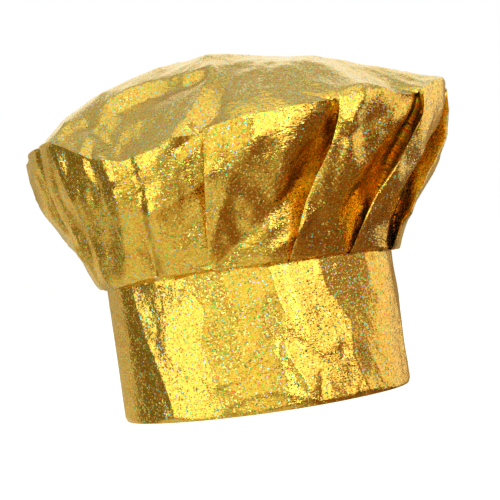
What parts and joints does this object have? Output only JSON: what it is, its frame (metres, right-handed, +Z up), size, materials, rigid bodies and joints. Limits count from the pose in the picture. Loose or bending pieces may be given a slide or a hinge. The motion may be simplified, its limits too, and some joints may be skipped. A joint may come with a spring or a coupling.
{
  "type": "party hat",
  "caption": "Gold foil party hat shaped like a chef's toque: a stiff oval band with a hook-and-loop closure at the back, under a puffed pleated crown that pushes down.",
  "frame": {"origin": "middle of the head opening, in the plane of the band's bottom edge", "axes": "+Z up through the crown, +X across the wearer's head, front towards -Y, closure at +Y"},
  "size_m": [0.312, 0.266, 0.26],
  "materials": {
    "foil": "gold metallised film with a fine rainbow fleck, laminated to a non-woven backing",
    "board": "plain",
    "backing": "matt non-woven",
    "tape": "woven tape",
    "loop": "brushed loop pile",
    "hook": "moulded hooks on a woven tape",
    "thread": "sewing thread",
    "label": "blank woven label"
  },
  "bodies": {
    "band": {"band_cover": "foil", "band_stiffener": "board", "band_facing": "backing", "sweatband": "tape", "sweatband_stitching": "thread", "crown_seam_stitching": "thread", "loop_tape": "loop", "loop_tape_stitching": "thread", "size_label": "label"},
    "crown": {"crown": "foil"},
    "closure_flap": {"flap_cover": "foil", "flap_stiffener": "board", "flap_facing": "backing", "hook_tape": "hook", "hook_tape_stitching": "thread"}
  },
  "joints": [
    {"name": "crown_collapse", "type": "slide", "parent": "band", "child": "crown", "axis": [0, 0, -1], "range_m": [0, 0.09], "deforming": ["crown"]},
    {"name": "closure_hinge", "type": "hinge", "parent": "band", "child": "closure_flap", "pos_m": [0.02385, 0.07968, 0.051], "axis": [0, 0, -1], "range_deg": [0, 70], "stiffness_Nm_per_rad": 0.05}
  ]
}
